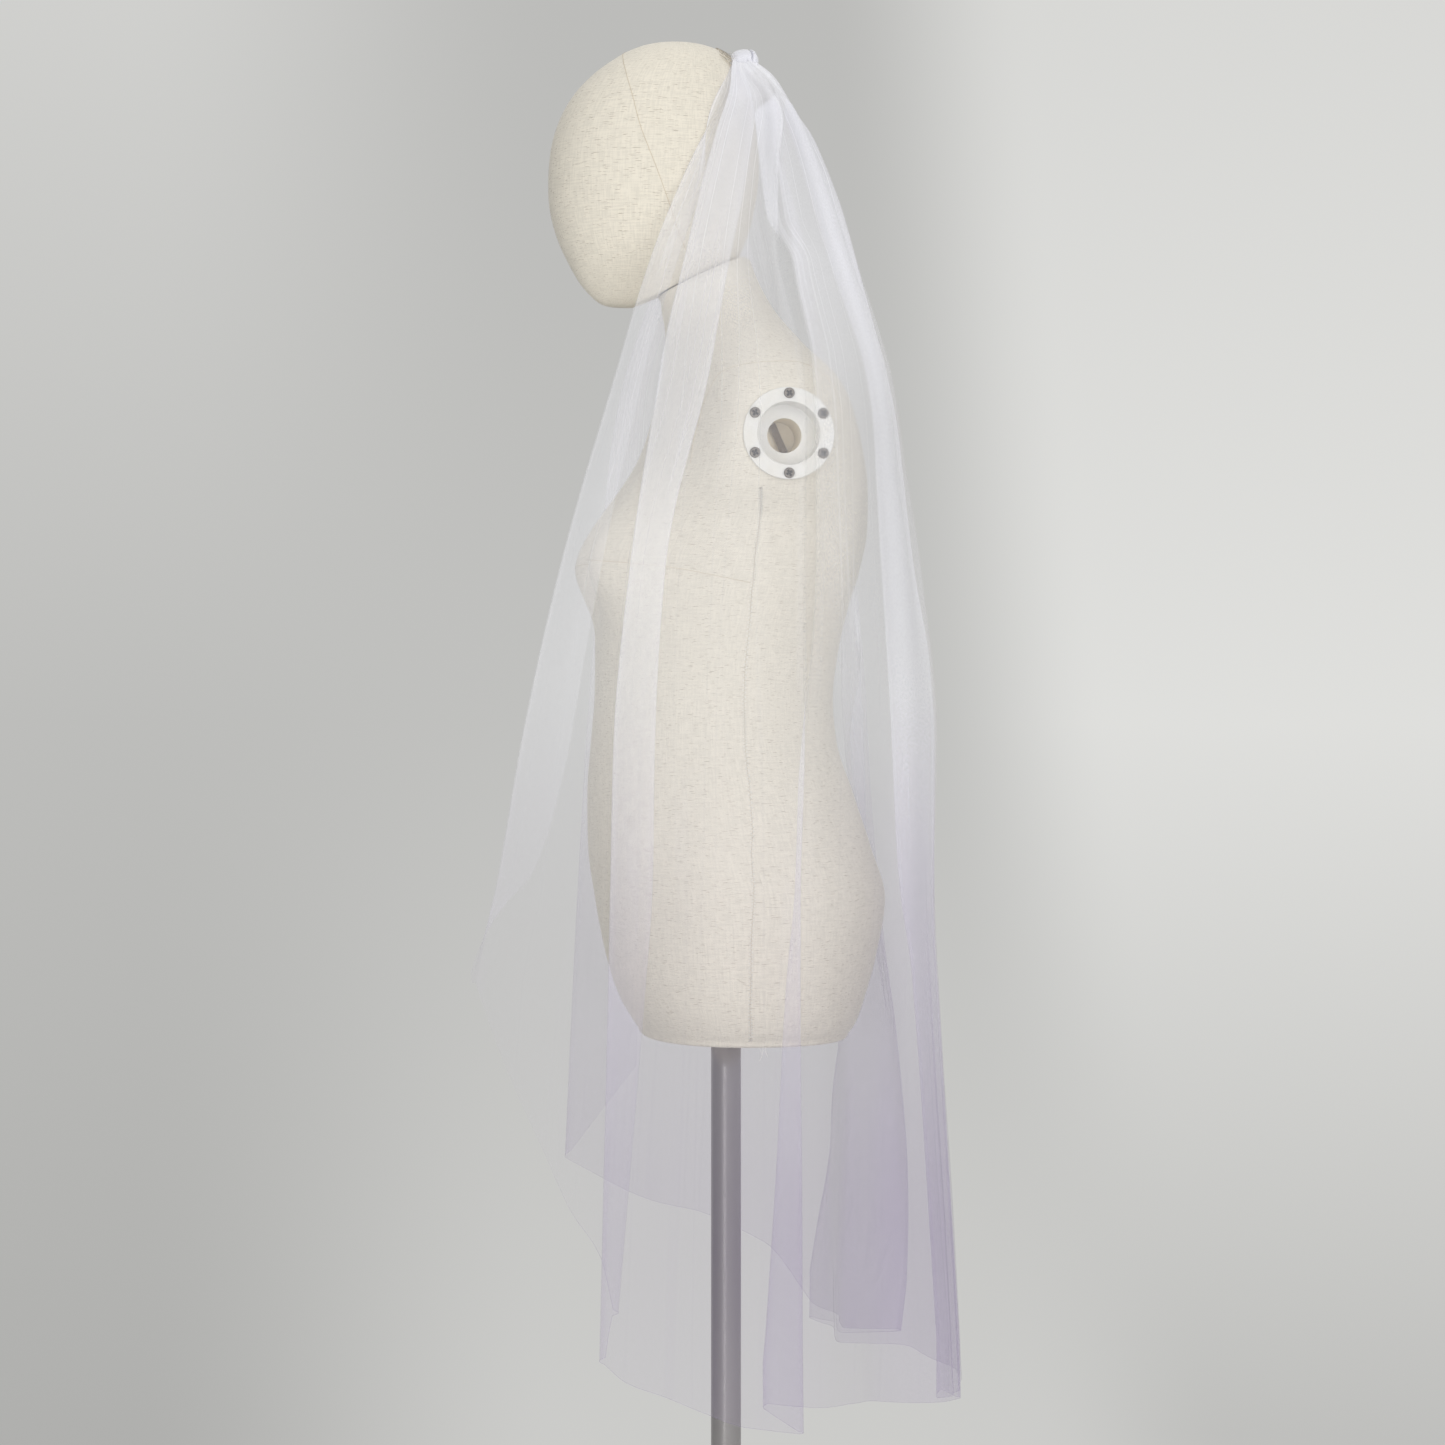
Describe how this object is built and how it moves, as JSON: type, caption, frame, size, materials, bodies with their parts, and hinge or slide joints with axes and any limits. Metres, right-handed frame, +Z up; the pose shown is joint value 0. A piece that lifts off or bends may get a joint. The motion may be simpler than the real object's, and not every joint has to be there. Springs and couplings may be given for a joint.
{
  "type": "veil on dress form",
  "caption": "One-tier tulle veil, gathered on a hair comb and dyed lilac towards its rounded hem, draped over a limbless linen dress form with an egg head, pole and round base.",
  "frame": {"origin": "centre of the round base's underside, on the floor and on the pole's axis", "axes": "+Z up along the pole; the form faces -Y and its left side is +X"},
  "size_m": [0.4753, 0.4601, 1.7055],
  "materials": {
    "tulle": "fine soft net, lilac at the hem",
    "linen": "slubby cream linen cover",
    "white_plastic": "white moulded plastic",
    "screw_steel": "dull zinc plated",
    "comb_metal": "drawn wire",
    "brushed_steel": "brushed along the pole"
  },
  "bodies": {
    "root": {"veil_panel": "tulle", "veil_heading": "tulle", "comb": "comb_metal", "form_head": "linen", "form_torso": "linen", "form_arm_block_left": "linen", "form_arm_block_right": "linen", "arm_plate_left": "white_plastic", "arm_plate_right": "white_plastic", "plate_screw_left_1": "screw_steel", "plate_screw_left_2": "screw_steel", "plate_screw_left_3": "screw_steel", "plate_screw_left_4": "screw_steel", "plate_screw_left_5": "screw_steel", "plate_screw_left_6": "screw_steel", "plate_screw_right_1": "screw_steel", "plate_screw_right_2": "screw_steel", "plate_screw_right_3": "screw_steel", "plate_screw_right_4": "screw_steel", "plate_screw_right_5": "screw_steel", "plate_screw_right_6": "screw_steel", "socket_rod_left": "screw_steel", "socket_rod_right": "screw_steel", "stand_pole": "brushed_steel", "stand_base": "brushed_steel"}
  },
  "joints": []
}
